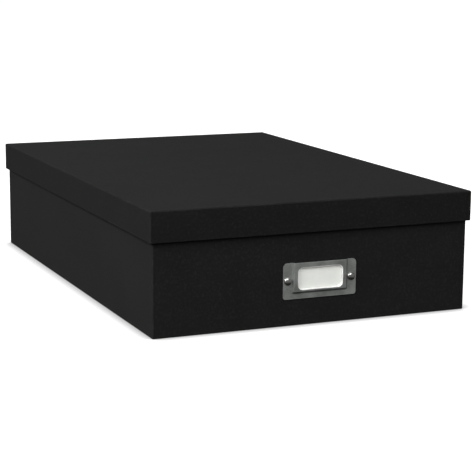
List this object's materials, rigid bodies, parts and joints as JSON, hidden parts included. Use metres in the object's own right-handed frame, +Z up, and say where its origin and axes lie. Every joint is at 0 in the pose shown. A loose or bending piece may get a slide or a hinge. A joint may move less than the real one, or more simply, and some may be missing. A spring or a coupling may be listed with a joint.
{
  "type": "archival storage box",
  "caption": "Flat rectangular archival storage box in black paper-covered chipboard, with a lift-off lid and a riveted metal card frame holding a blank card on the front.",
  "frame": {"origin": "middle of the flat underside that the box stands on", "axes": "+Z up, -Y the front with the card frame, +X to the right as seen from the front"},
  "size_m": [0.26, 0.387, 0.0925],
  "materials": {
    "cover_paper": "matt black cover paper with a fine fibre grain",
    "chipboard": "raw grey chipboard",
    "stay_tape": "brown gummed kraft tape",
    "lining_paper": "off-white uncoated lining paper",
    "nickel_plate": "satin nickel-plated pressed steel",
    "card_stock": "smooth white card"
  },
  "bodies": {
    "tray": {"tray_bottom_board": "chipboard", "tray_front_board": "chipboard", "tray_back_board": "chipboard", "tray_left_board": "chipboard", "tray_right_board": "chipboard", "tray_stay_front_left": "stay_tape", "tray_stay_front_right": "stay_tape", "tray_stay_back_left": "stay_tape", "tray_stay_back_right": "stay_tape", "tray_wrap": "cover_paper", "tray_base_sheet": "cover_paper", "tray_lining": "lining_paper", "card_frame": "nickel_plate", "left_brad": "nickel_plate", "right_brad": "nickel_plate"},
    "lid": {"lid_top_board": "chipboard", "lid_front_board": "chipboard", "lid_back_board": "chipboard", "lid_left_board": "chipboard", "lid_right_board": "chipboard", "lid_stay_front_left": "stay_tape", "lid_stay_front_right": "stay_tape", "lid_stay_back_left": "stay_tape", "lid_stay_back_right": "stay_tape", "lid_wrap": "cover_paper", "lid_lining": "lining_paper"},
    "card": {"label_card": "card_stock"}
  },
  "joints": [
    {"name": "lid_lift", "type": "slide", "parent": "tray", "child": "lid", "axis": [0, 0, 1], "range_m": [0, 0.15]},
    {"name": "card_slide", "type": "slide", "parent": "tray", "child": "card", "axis": [0, 0, 1], "range_m": [0, 0.022]}
  ]
}
